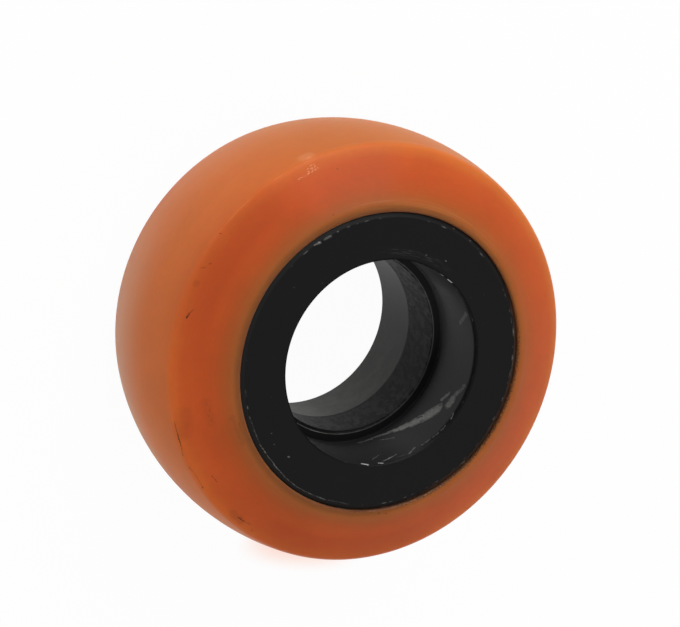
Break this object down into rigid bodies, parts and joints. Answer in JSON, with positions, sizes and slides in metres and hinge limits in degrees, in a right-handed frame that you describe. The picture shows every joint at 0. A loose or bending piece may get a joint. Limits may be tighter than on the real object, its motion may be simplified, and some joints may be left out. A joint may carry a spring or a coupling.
{
  "type": "side roller",
  "caption": "Roller with a crowned orange polyurethane tyre cast round a short black steel hub, which has a bearing seat bored into each end.",
  "frame": {"origin": "on the axis, in the plane that the roller stands on when it lies on one end", "axes": "+Z along the axis, out of the upper end; X and Y are any two directions across it, because the roller is a body of revolution"},
  "size_m": [0.1016, 0.1016, 0.0496],
  "materials": {
    "polyurethane": "satin",
    "black_steel": "satin"
  },
  "bodies": {
    "root": {"tyre": "polyurethane", "hub": "black_steel"}
  },
  "joints": []
}
